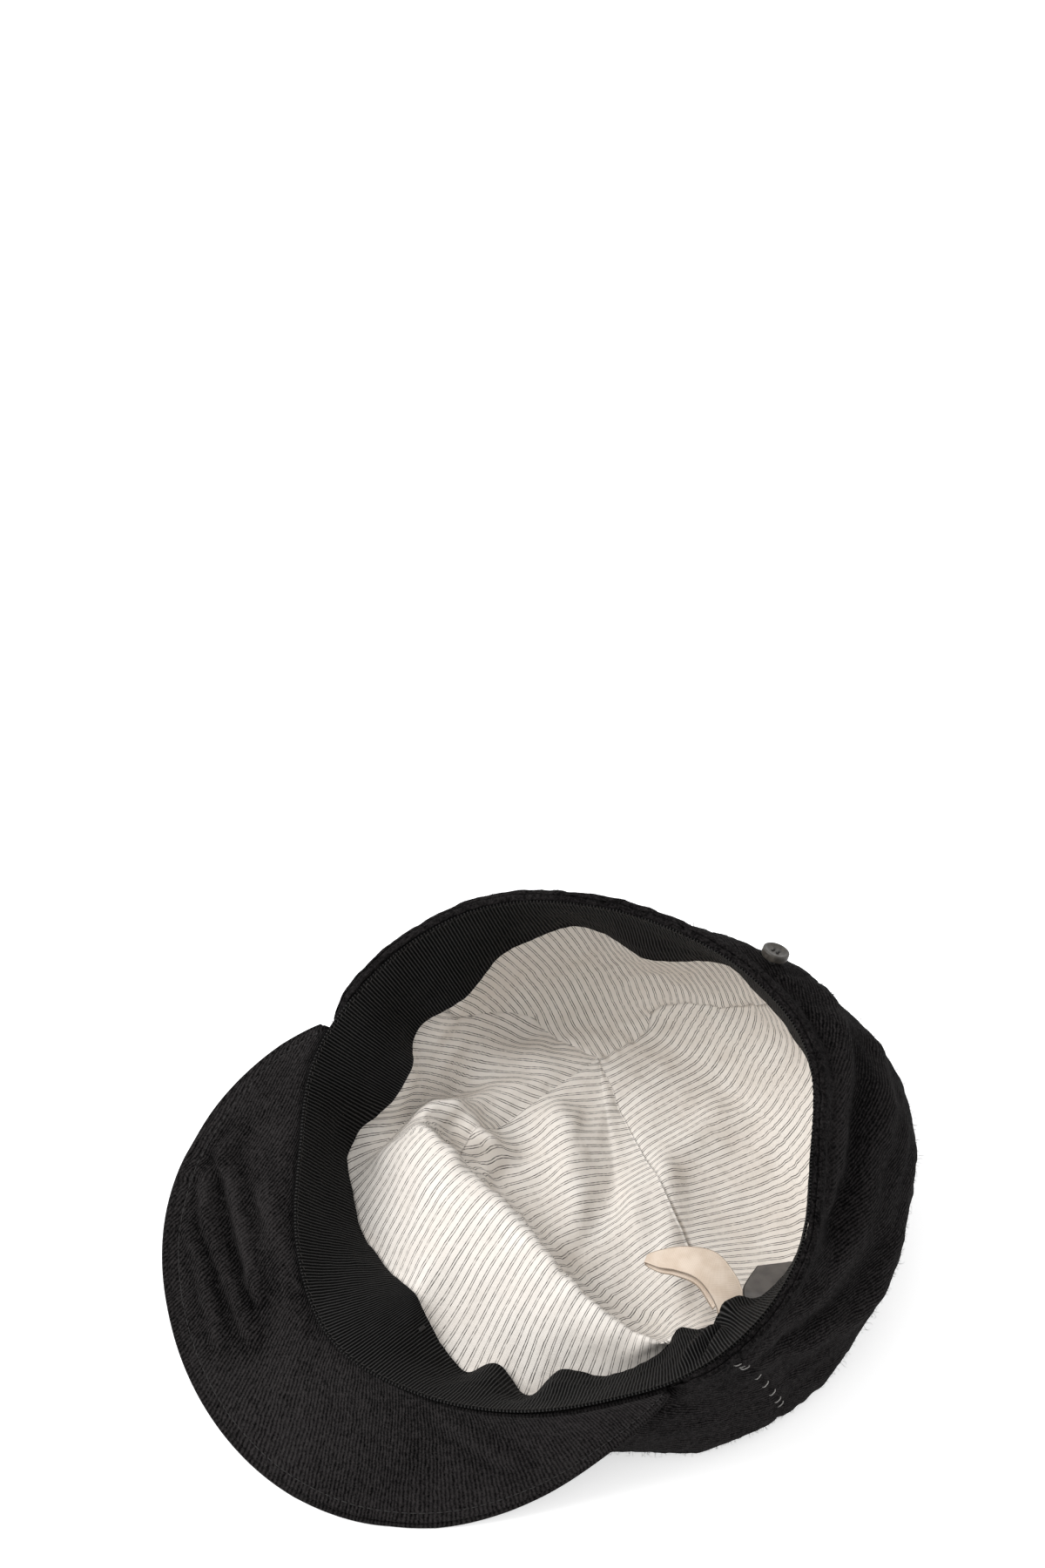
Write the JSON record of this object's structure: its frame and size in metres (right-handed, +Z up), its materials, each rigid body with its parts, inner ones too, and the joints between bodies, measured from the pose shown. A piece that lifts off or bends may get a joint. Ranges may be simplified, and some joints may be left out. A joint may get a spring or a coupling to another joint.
{
  "type": "field cap",
  "caption": "Soft wool field cap lying upside down on its crown, short peak folded half down, striped cotton lining and grosgrain sweatband showing.",
  "frame": {"origin": "on the surface that the cap lies on, under the middle of its bounding box", "axes": "+Z up, out of the head opening; -Y towards the peak; +X towards the wearer's right side"},
  "size_m": [0.2117, 0.2612, 0.1063],
  "materials": {
    "black_wool": "fuzzy wool twill",
    "black_grosgrain": "ribbed grosgrain ribbon",
    "striped_cotton": "plain cotton with thin double grey stripes",
    "ecru_tape": "bare cotton tape",
    "grey_satin": "satin tape",
    "dark_horn": "polished horn",
    "black_thread": "waxed thread"
  },
  "bodies": {
    "root": {"crown_front_left": "black_wool", "crown_front_right": "black_wool", "crown_back_left": "black_wool", "crown_back_right": "black_wool", "peak_outer": "black_wool", "peak_underside": "black_wool", "sweatband": "black_grosgrain", "lining_front_left": "striped_cotton", "lining_front_right": "striped_cotton", "lining_back_left": "striped_cotton", "lining_back_right": "striped_cotton", "care_label": "ecru_tape", "satin_tab": "grey_satin", "button": "dark_horn", "button_shank": "black_thread"}
  },
  "joints": []
}
